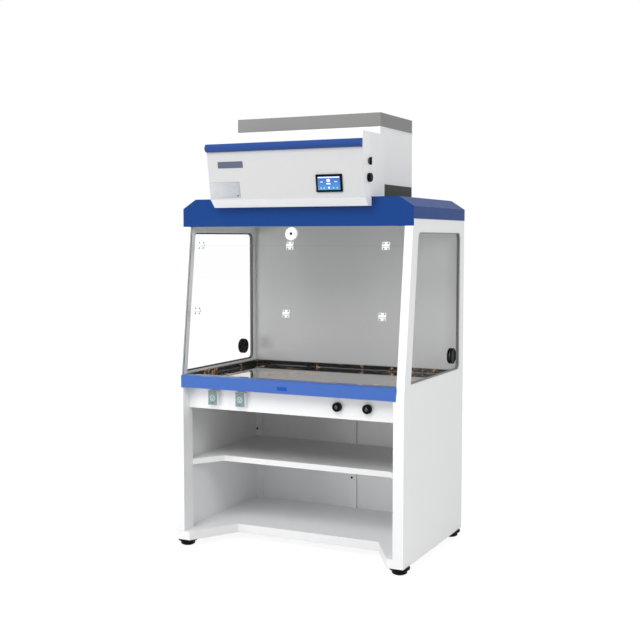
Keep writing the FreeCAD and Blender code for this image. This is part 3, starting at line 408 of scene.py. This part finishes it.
metal, given, result = group(
    "worked_metal",
    {"Metal": ("Color", (0.6, 0.6, 0.6, 1.0)), "Grain": ("Float", 0.3), "Gloss": ("Float", 0.35),
     "Stretch": ("Vector", (1.0, 1.0, 1.0))},
    {"Colour": "Color", "Roughness": "Float", "Normal": "Vector"})
place = add(metal, "TexCoord").outputs["Object"]
along = add(metal, "VectorMath", {0: place, 1: given.outputs["Stretch"]}, operation="MULTIPLY").outputs[0]
line = noise(metal, along, 900.0, 3.0)
bump = add(metal, "Bump", {"Strength": given.outputs["Grain"], "Distance": 0.0001, "Height": line,
                           "Normal": add(metal, "Bevel", {"Radius": 0.0005}, samples=4).outputs[0]})
gloss_drift = spread(metal, noise(metal, place, 60.0), -0.08, 0.1)
rough = add(metal, "Math", {0: given.outputs["Gloss"], 1: gloss_drift}, operation="ADD")
feed(metal, result, {"Colour": tint(metal, given.outputs["Metal"], spread(metal, line, 0.88, 1.08)),
                     "Roughness": rough.outputs[0], "Normal": bump.outputs[0]})
zinc = finish("zinc_plated_steel", metal, {"Metal": (0.52, 0.53, 0.54, 1.0)}, Metallic=1.0)
screw_steel = finish("screw_steel", metal, {"Metal": (0.08, 0.08, 0.085, 1.0)}, Metallic=0.5)

dress(white_plastic, "hinge_leaves_fixed", "hinge_leaves_middle", "hinge_leaves_lower")
pane_in = 0.008
leaf_thick = 0.0025
leaf_w = 0.036
screw_apart = 0.0105
screw_up = 0.0125
screw_r = 0.0035
screw_rise = 0.001
screw_out = leaf_thick - pane_in + 0.0003
slope_foot = np.array([0.0, post_low[1], post_low[2]])


def on_slope(x, up, out):
    """Point at x, a distance up the leaning front and out of its face."""
    return slope_foot + (x, 0, 0) + up * up_slope + out * off_slope


sash_folds = {}
for upper, lower in (("sash_fixed_pane", "sash_middle_pane"), ("sash_middle_pane", "sash_lower_pane")):
    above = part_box(upper)[0]
    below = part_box(lower)[1]
    fold_z = (above[2] + below[2]) / 2
    sash_folds[lower] = (fold_z - post_low[2] + pane_in * np.sin(lean)) / np.cos(lean)
low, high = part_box("hinge_leaves_fixed")
hinge_x = (low[0] + leaf_w / 2, (low[0] + high[0]) / 2, high[0] - leaf_w / 2)
for leaves, body, fold, sides in (
        ("hinge_leaves_fixed", "cabinet", "sash_middle_pane", (1,)),
        ("hinge_leaves_middle", "middle_pane", "sash_middle_pane", (-1,)),
        ("hinge_leaves_middle", "middle_pane", "sash_lower_pane", (1,)),
        ("hinge_leaves_lower", "lower_pane", "sash_lower_pane", (-1,))):
    grids = []
    for x in hinge_x:
        for side in sides:
            for dx in (-screw_apart, screw_apart):
                origin = on_slope(x + dx, sash_folds[fold] + side * screw_up, screw_out)
                grids.append(placed(screw_head(screw_r, screw_rise), origin, (1, 0, 0), up_slope))
    piece(leaves + "_screws_" + fold, grids, screw_steel, body)


# Air sensor on the fixed pane: a white round cover with a dark hole in its middle and two small
# screws beside it.
low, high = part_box("air_sensor")
sensor_r = (high[0] - low[0]) / 2
sensor_t = 0.013
sensor_centre = (np.array(low) + np.array(high)) / 2 - off_slope * sensor_t / 2
cover = [(0, 0), (sensor_r, 0), (sensor_r, sensor_t * 0.75), (sensor_r * 0.9, sensor_t), (0.007, sensor_t),
         (0.0065, sensor_t - 0.004), (0, sensor_t - 0.004)]
piece("air_sensor_cover", [placed(lathe(softened(cover, 0.0025)), sensor_centre, (1, 0, 0), up_slope)],
      white_plastic, "cabinet", ["air_sensor"])
plug_r = 0.0062
plug = [(0, sensor_t - 0.006), (plug_r, sensor_t - 0.006), (plug_r, sensor_t - 0.0015),
        (0, sensor_t - 0.0012)]
piece("air_sensor_mouth", [placed(lathe(plug, 32), sensor_centre, (1, 0, 0), up_slope)], black_plastic,
      "cabinet")
sensor_face = sensor_centre + off_slope * sensor_t
sensor_screw_x = 0.019
grids = [placed(screw_head(0.0026, 0.0009), sensor_face + (dx, 0, 0), (1, 0, 0), up_slope)
         for dx in (-sensor_screw_x, sensor_screw_x)]
piece("air_sensor_screws", grids, zinc, "cabinet")


# Blue sheet steel: the folded canopy in a deep blue coat, and the arm rest strip along the front of
# the worktop in a lighter one. Both are screwed on from inside, so no fastener shows.
deep_blue = finish("deep_blue_coat", coat, {"Paint": (0.005, 0.044, 0.205, 1.0), "Gloss": 0.5},
                   Specular_IOR_Level=0.2)
light_blue = finish("light_blue_coat", coat, {"Paint": (0.052, 0.137, 0.455, 1.0), "Gloss": 0.4},
                    Specular_IOR_Level=0.3)
dress(deep_blue, "canopy")
dress(light_blue, "front_strip")


# Worktop: a tray with a raised rim, moulded in black resin. Copper flakes lie in the resin in drawn
# out clouds, coloured bright orange so that they also serve as painted glints. Its floor is lacquered
# and polished, so it mirrors the chamber; the rim stays duller.
resin = bpy.data.materials.new("worktop_resin")
resin.use_nodes = True
tree = resin.node_tree
shader = tree.nodes["Principled BSDF"]
place = add(tree, "TexCoord").outputs["Object"]
swirl = add(tree, "TexNoise", {"Vector": place, "Scale": 2.5, "Detail": 3.0}).outputs["Color"]
drift = add(tree, "VectorMath", {0: place, 1: swirl}, operation="ADD").outputs[0]
cloud_place = spread(tree, noise(tree, drift, 7.0, 1.0), 0.0, 1.0, 0.57, 0.63)
torn_edge = spread(tree, noise(tree, drift, 45.0, 5.0, 0.65), 0.0, 1.0, 0.52, 0.57)
# Painted glints: the copper clouds are coloured bright so that they read as glints on the black resin.
flakes_and_painted_glints = add(tree, "Math", {0: cloud_place, 1: torn_edge}, operation="MULTIPLY").outputs[0]
resin_black = (0.008, 0.008, 0.009, 1.0)
painted_glint_tone = (0.95, 0.55, 0.24, 1.0)
polish = spread(tree, noise(tree, place, 30.0), 0.05, 0.1)
rim_rise = 0.023
floor_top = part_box("worktop")[1][2] - rim_rise
rim_start = (floor_top + 0.001, floor_top + 0.003)
up = along_axis(tree, "Z")
flat = spread(tree, up, 1.0, 0.0, *rim_start)
bare = spread(tree, flakes_and_painted_glints, 1.0, 0.0)
feed(tree, shader, {
    "Base Color": mixed(tree, flakes_and_painted_glints, resin_black, painted_glint_tone),
    "Metallic": spread(tree, flakes_and_painted_glints, 0.0, 0.35),
    "Roughness": add(tree, "Mix", {0: flakes_and_painted_glints, 2: polish, 3: 0.45}).outputs[0],
    "Normal": add(tree, "Bevel", {"Radius": 0.002}, samples=4).outputs[0],
    "Specular IOR Level": spread(tree, up, 0.9, 0.12, *rim_start),
    "Coat Weight": add(tree, "Math", {0: flat, 1: bare}, operation="MULTIPLY").outputs[0],
    "Coat IOR": 1.9, "Coat Roughness": 0.05})
dress(resin, "worktop")


# Head: filter box and control box of white coated sheet, a grey exhaust cap over them and a
# charcoal collar under them, all folded and screwed together from inside.
dress(white, "filter_box", "control_box")
grey = finish("grey_coat", coat, {"Paint": (0.225, 0.225, 0.222, 1.0), "Gloss": 0.55})
charcoal = finish("charcoal_coat", coat, {"Paint": (0.028, 0.031, 0.028, 1.0), "Gloss": 0.6},
                  Specular_IOR_Level=0.3)
dress(grey, "exhaust_cap")
dress(charcoal, "collar")


# Door of the head: one folded pan of sheet in one coat, with light and shade painted into it. Its leaning
# face is painted greyer as painted shade; the returns, the top and the lower band get a white a little
# lighter than the cabinet's, as painted light.
door_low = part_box("head_door")[0]
grip_low, grip_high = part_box("door_grip")
face_high = grip_low[2]
face_low = 1.692
face_slope = 0.034
door_painted_light_coat = bpy.data.materials.new("door_painted_light_coat")
door_painted_light_coat.use_nodes = True
tree = door_painted_light_coat.node_tree
shader = tree.nodes["Principled BSDF"]
height = along_axis(tree, "Z")
turned = add(tree, "SeparateXYZ", {0: add(tree, "TexCoord").outputs["Normal"]}).outputs["Y"]
over_band = spread(tree, height, 0.0, 1.0, face_low - 0.0005, face_low + 0.0005)
under_grip = spread(tree, height, 1.0, 0.0, face_high, face_high + 0.001)
to_front = spread(tree, turned, 1.0, 0.0, -0.95, -0.85)
on_sheet = add(tree, "Math", {0: over_band, 1: under_grip}, operation="MULTIPLY").outputs[0]
painted_face_shade = add(tree, "Math", {0: on_sheet, 1: to_front}, operation="MULTIPLY").outputs[0]
# Painted light and shade: a lit white a little above the cabinet's white, and a grey for shade on the leaning
# face.
door_lit_white = (0.9, 0.905, 0.91, 1.0)
face_shade_grey = (0.55, 0.55, 0.555, 1.0)
paint = mixed(tree, painted_face_shade, door_lit_white, face_shade_grey)
source = add(tree, "Group", {"Paint": paint, "Gloss": 0.42}, node_tree=coat)
feed(tree, shader, {key: source.outputs[end] for key, end in
                    (("Base Color", "Colour"), ("Roughness", "Roughness"), ("Normal", "Normal"))})
dress(door_painted_light_coat, "head_door")


# Touch screen: a black moulded bezel with soft corners, clipped into the door, with a sunk glass
# panel that shows a plain blue page of simple shapes.
def plate(width, height, corner, rows, round_steps=8):
    """Rounded rectangle carried over rows of (inset, height above its seat). At an inset i its outline
    is the rectangle less i on every side with corners of radius corner - i, and both ends close."""
    turn = np.linspace(0.0, np.pi / 2, round_steps)
    turns = np.concatenate([turn + k * np.pi / 2 for k in range(4)])
    sx = np.sign(np.repeat([1, -1, -1, 1], round_steps))
    sy = np.sign(np.repeat([1, 1, -1, -1], round_steps))
    inset, rise = np.asarray(rows, float).T[:, :, None]
    bend = np.maximum(corner - inset, 0.0002)
    x = sx * (width / 2 - inset - bend) + bend * np.cos(turns)
    y = sy * (height / 2 - inset - bend) + bend * np.sin(turns)
    grid = np.stack([x, y, rise + 0 * x], axis=2)
    first = grid[:1] * (0, 0, 1)
    last = grid[-1:] * (0, 0, 1)
    return np.concatenate([first, grid, last])


face_tilt = np.arctan2(face_slope, face_high - face_low)
up_face = np.array([0.0, -np.sin(face_tilt), np.cos(face_tilt)])
off_face = np.cross((1, 0, 0), up_face)


def on_face(x, z, out=0.0):
    """Point on the door's leaning face at x and a height, moved out of it."""
    drop = (face_high - z) / (face_high - face_low)
    return np.array([x, door_low[1] + face_slope * drop, z]) + out * off_face


low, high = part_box("touch_screen")
screen_x = (low[0] + high[0]) / 2
screen_z = 1.758
bezel_w = 0.130
bezel_h = 0.080
bezel_t = 0.007
back_w = 0.1115
back_h = 0.0615
back_deep = 0.022
glass_sunk = 0.0062
rows = [(0, 0), (0, 0.0055), (0.0004, 0.0065), (0.0015, bezel_t), (0.0085, bezel_t), (0.0092, 0.0064),
        (0.0094, glass_sunk)]
bezel_black = finish("bezel_black", mould, {"Plastic": (0.003, 0.003, 0.005, 1.0), "Grain": 0.02,
                                            "Gloss": 0.18}, Specular_IOR_Level=0.08)
back_box = plate(back_w, back_h, 0.002, [(0, -back_deep), (0, 0.0)])
on_door = ((1, 0, 0), up_face)
seat = on_face(screen_x, screen_z)
grids = [placed(grid, seat, *on_door) for grid in (plate(bezel_w, bezel_h, 0.004, rows), back_box)]
piece("screen_bezel", grids, bezel_black, "head_door", ["touch_screen"])


fade_reach = 0.03


def lit(name, colour, strength, second=None):
    """Display colour that glows. With a second colour it fades from the bottom to the top."""
    made = bpy.data.materials.new(name)
    made.use_nodes = True
    tree = made.node_tree
    shader = tree.nodes["Principled BSDF"]
    fade = spread(tree, along_axis(tree, "Z"), 0.0, 1.0, screen_z - fade_reach, screen_z + fade_reach)
    cloud = noise(tree, add(tree, "TexCoord").outputs["Object"], 40.0)
    shown = tint(tree, mixed(tree, fade, colour, second or colour), spread(tree, cloud, 0.9, 1.1))
    feed(tree, shader, {"Base Color": shown, "Emission Color": shown, "Emission Strength": strength,
                        "Roughness": 0.2})
    return made


display_inset = 0.0195
display_w = bezel_w - display_inset
display_h = bezel_h - display_inset
blue_page = lit("display_page", (0.055, 0.21, 0.47, 1.0), 0.3, (0.017, 0.085, 0.36, 1.0))
thin = [(0, 0), (0, 0.0003)]
seat = on_face(screen_x, screen_z, glass_sunk)
page = placed(plate(display_w, display_h, 0.001, thin), seat, *on_door)
piece("screen_display", [page], blue_page, "head_door")


def on_display(across, up, width, height, corner=0.001):
    """Small flat shape on the display, placed by fractions of its width and height from its middle."""
    rise = up * display_h * np.cos(face_tilt)
    seat = on_face(screen_x + across * display_w, screen_z + rise, glass_sunk + 0.0003)
    return placed(plate(width * display_w, height * display_h, corner, thin, 5), seat, *on_door)


white_page = lit("display_white", (0.75, 0.83, 0.9, 1.0), 0.2)
shapes = [on_display(0.0, 0.43, 0.96, 0.08, 0.0005), on_display(-0.02, 0.2, 0.16, 0.22, 0.006),
          on_display(-0.02, -0.04, 0.2, 0.1, 0.003), on_display(-0.33, 0.1, 0.12, 0.05),
          on_display(0.31, 0.1, 0.14, 0.05), on_display(0.0, -0.34, 0.07, 0.16, 0.003)]
piece("display_shapes", shapes, white_page, "head_door")
green_page = lit("display_green", (0.3, 0.6, 0.25, 1.0), 0.2)
marks = [on_display(across, -0.36, 0.06, 0.11, 0.002) for across in (-0.36, -0.22, 0.2, 0.36)]
piece("display_marks", marks, green_page, "head_door")


# Card holder on the door: a glossy moulded pocket over pale card, stuck on, with one dark rivet in
# its lower corner.
card_x = (-0.396, -0.236)
card_z = (1.701, 1.775)
card = finish("card_holder", mould, {"Grain": 0.02, "Gloss": 0.12}, Coat_Weight=0.3)
tree = card.node_tree
fade = spread(tree, along_axis(tree, "X"), 0.0, 1.0, *card_x)
vary(card, "Plastic", mixed(tree, fade, (0.53, 0.53, 0.55, 1.0), (0.37, 0.4, 0.43, 1.0)))
rivet_from_corner = (0.012, 0.009)
seat = on_face(sum(card_x) / 2, sum(card_z) / 2)
rim_rows = [(0, 0), (0, 0.0018), (0.0006, 0.0024), (0.003, 0.0024), (0.0036, 0.0016)]
pocket = plate(card_x[1] - card_x[0], card_z[1] - card_z[0], 0.003, rim_rows)
piece("card_pocket", [placed(pocket, seat, *on_door)], card, "head_door")
rivet = softened([(0, 0), (0.0035, 0), (0.0035, 0.001), (0.002, 0.0022), (0, 0.0026)], 0.0008)
seat = on_face(card_x[1] - rivet_from_corner[0], card_z[0] + rivet_from_corner[1], 0.0016)
piece("card_rivet", [placed(lathe(rivet, 24), seat, *on_door)], black_plastic, "head_door")


# Plain plate high on the left of the door: anodised dark blue aluminium with nothing on it, stuck
# to the face.
badge = finish("badge_plate", metal, {"Metal": (0.103, 0.115, 0.18, 1.0), "Grain": 0.2, "Gloss": 0.35,
                                      "Stretch": (0.05, 1.0, 1.0)}, Metallic=0.3)
badge_x = -0.278
badge_z = 1.8525
badge_w = 0.134
badge_h = 0.03
blank = plate(badge_w, badge_h, 0.003, [(0, 0), (0, 0.0012), (0.0006, 0.0018)])
seat = on_face(badge_x, badge_z)
piece("badge_plate", [placed(blank, seat, *on_door)], badge, "head_door")


# Grip of the door: a blue strip with a six-sided nose, folded from sheet and welded along the whole
# top of the door. Its upper and lower facets meet the light in two tones.
grip_out = grip_high[1] - grip_low[1]
grip_half = (grip_high[2] - grip_low[2]) / 2
grip_mid = (grip_high[2] + grip_low[2]) / 2
section = [(0.0, -grip_half), (0.62, 0.003 - grip_half), (1.0, -0.006), (1.0, 0.004),
           (0.62, grip_half - 0.001), (0.0, grip_half)]
section = softened([(grip_high[1] - out * grip_out, grip_mid + up) for out, up in section], 0.0009, 4)
middle = section.mean(axis=0)
end_soft = 0.0006
stations = ((grip_low[0], 0.0), (grip_low[0], 0.98), (grip_low[0] + end_soft, 1.0),
            (grip_high[0] - end_soft, 1.0), (grip_high[0], 0.98), (grip_high[0], 0.0))
rings = [np.column_stack([np.full(len(section), x), middle + (section - middle) * size])
         for x, size in stations]
grip_blue = finish("grip_blue_coat", coat, {"Paint": (0.0115, 0.054, 0.235, 1.0), "Gloss": 0.42},
                   Specular_IOR_Level=0.3)
piece("grip_strip", [np.array(rings)], grip_blue, "head_door", ["door_grip"], 24.0)


# Door hinges of zinc plated steel, and the key lock and round latch moulded in black, each with a
# shaft through the door's right flange. The lock has a turned face round its key.
dress(zinc, "door_hinge_fixed", "door_hinge_leaves", "fan_deck")
dress(black_plastic, "door_lock", "door_latch", "power_inlet")
low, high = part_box("door_lock")
lock_sunk = 0.012
lock_face = high[0] - lock_sunk
lock_ring = softened([(0.0058, 0.0), (0.0086, 0.0), (0.0086, 0.0012), (0.0074, 0.0018), (0.0058, 0.0014),
                      (0.0058, 0.0)], 0.0004)
latch_low, latch_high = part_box("door_latch")
key_in = 0.020
key_y = latch_low[1] + key_in
grid = placed(lathe(lock_ring, 40), (lock_face, key_y, (low[2] + high[2]) / 2), *facing_right)
piece("key_lock_ring", [grid], zinc, "door_lock")
latch_cap = softened([(0, 0), (0.0125, 0), (0.0125, 0.0008), (0.011, 0.0014), (0.0105, 0.0008), (0, 0.0008)],
                     0.0003)
latch_z = (latch_low[2] + latch_high[2]) / 2
grid = placed(lathe(latch_cap, 40), (latch_high[0], key_y, latch_z), *facing_right)
piece("latch_cap", [grid], black_plastic, "door_latch")


# Sockets: white boxes under the arm rest strip, each with a grey-green moulded flip cover that
# carries a paler round window over three pin holes.
dress(white_plastic, "socket_boxes")
cover_green = finish("socket_cover_plastic", mould, {"Plastic": (0.2, 0.285, 0.3, 1.0), "Grain": 0.05,
                                                     "Gloss": 0.25}, Coat_Weight=0.4)
window_green = finish("socket_window_plastic", mould, {"Plastic": (0.34, 0.45, 0.47, 1.0), "Grain": 0.02,
                                                       "Gloss": 0.12}, Coat_Weight=0.6)
window_r = 0.0155
ring = softened([(window_r, 0), (0.0205, 0), (0.0205, 0.0016), (0.018, 0.0022), (0.0158, 0.0012),
                 (window_r, 0)], 0.0006)
pane = [(0, 0), (0.0154, 0), (0.0154, 0.0006), (0, 0.0009)]
pin = (0.002, 0.0065)
marks = ((-0.0065, -0.002, *pin), (0.0065, -0.002, *pin), (0.0, 0.006, 0.0045, 0.0045),
         (0.0, -0.024, 0.012, 0.002))
for number in (1, 2):
    name = "socket_cover_%d" % number
    dress(cover_green, name)
    low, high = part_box(name)
    centre = ((low[0] + high[0]) / 2, low[1], (low[2] + high[2]) / 2)
    piece(name + "_ring", [placed(lathe(ring), centre, *facing_front)], cover_green, name)
    piece(name + "_window", [placed(lathe(pane), centre, *facing_front)], window_green, name)
    dots = []
    for dx, dz, width, height in marks:
        dot = plate(width, height, 0.0008, [(0, 0), (0, 0.0012)], 4)
        dots.append(placed(dot, np.add(centre, (dx, 0, dz)), *facing_front))
    piece(name + "_marks", dots, black_plastic, name)


# Valves: turned brass bodies behind the apron, each with a fluted knob moulded in black. A raised
# cap is snapped into the knob's face and carries a pale pointer line.
brass = finish("turned_brass", metal, {"Metal": (0.72, 0.5, 0.22, 1.0), "Gloss": 0.3}, Metallic=1.0)
dress(brass, "valves")
pointer = finish("pointer_white", mould, {"Plastic": (0.3, 0.3, 0.3, 1.0), "Grain": 0.05, "Gloss": 0.4})
cap = softened([(0, 0), (0.0135, 0), (0.0135, 0.0012), (0.012, 0.002), (0.0115, 0.0012), (0, 0.0012)], 0.0004)
hand = plate(0.0018, 0.011, 0.0008, [(0, 0.0), (0, 0.0018)], 4)
hand_up = (0, 0, 0.0055)
ring = softened([(0.0048, 0.0), (0.0062, 0.0), (0.0062, 0.0016), (0.0048, 0.0016), (0.0048, 0.0)], 0.0002)
for number in (1, 2):
    name = "valve_knob_%d" % number
    dress(black_plastic, name)
    low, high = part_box(name)
    centre = ((low[0] + high[0]) / 2, low[1], (low[2] + high[2]) / 2)
    piece(name + "_cap", [placed(lathe(cap), centre, *facing_front)], black_plastic, name)
    grids = [placed(hand, np.add(centre, hand_up), *facing_front),
             placed(lathe(ring, 40), centre, *facing_front)]
    piece(name + "_pointer", grids, pointer, name)


# Plain pad in a mid blue coat, stuck on the arm rest strip, and two black screws that go through
# the stiles of the inner back panel.
low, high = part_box("front_strip")
mid_blue = finish("pad_blue", coat, {"Paint": (0.0135, 0.08, 0.4, 1.0), "Gloss": 0.45},
                  Specular_IOR_Level=0.2)
pad_w = 0.05
pad_h = 0.017
pad_seat = (-0.008, low[1], 0.8135)
pad = plate(pad_w, pad_h, 0.003, [(0, 0), (0, 0.0008), (0.0006, 0.0012)])
piece("strip_pad", [placed(pad, pad_seat, *facing_front)], mid_blue, "cabinet")
low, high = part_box("lower_back_panel")
stile_screw_places = ((-0.572, 0.463), (0.0, 0.242))
stile_screw = screw_head(0.006, 0.002)
grids = [placed(stile_screw, (x, low[1], z), *facing_front) for x, z in stile_screw_places]
piece("stile_screws", grids, black_plastic, "cabinet")


# Chamber lamp with its opal diffuser, and the inner parts of the head: aluminium motor, impeller,
# power supply and first filter, a pleated paper filter, a carbon filter and the control board.
dress(lit("lamp_diffuser", (0.85, 0.87, 0.88, 1.0), 0.0), "lamp")
aluminium = finish("cast_aluminium", metal, {"Metal": (0.6, 0.61, 0.62, 1.0), "Gloss": 0.45}, Metallic=1.0)
dress(aluminium, "fan_motor", "power_supply", "prefilter", "fan_impeller")
paper = finish("filter_paper", mould, {"Plastic": (0.75, 0.74, 0.7, 1.0), "Grain": 0.5, "Gloss": 0.85})
dress(paper, "fine_filter")
carbon = finish("filter_carbon", mould, {"Plastic": (0.03, 0.03, 0.03, 1.0), "Grain": 1.0, "Gloss": 0.8})
dress(carbon, "carbon_filter")
board = finish("circuit_board", mould, {"Plastic": (0.02, 0.16, 0.07, 1.0), "Grain": 0.1, "Gloss": 0.3})
dress(board, "control_board")
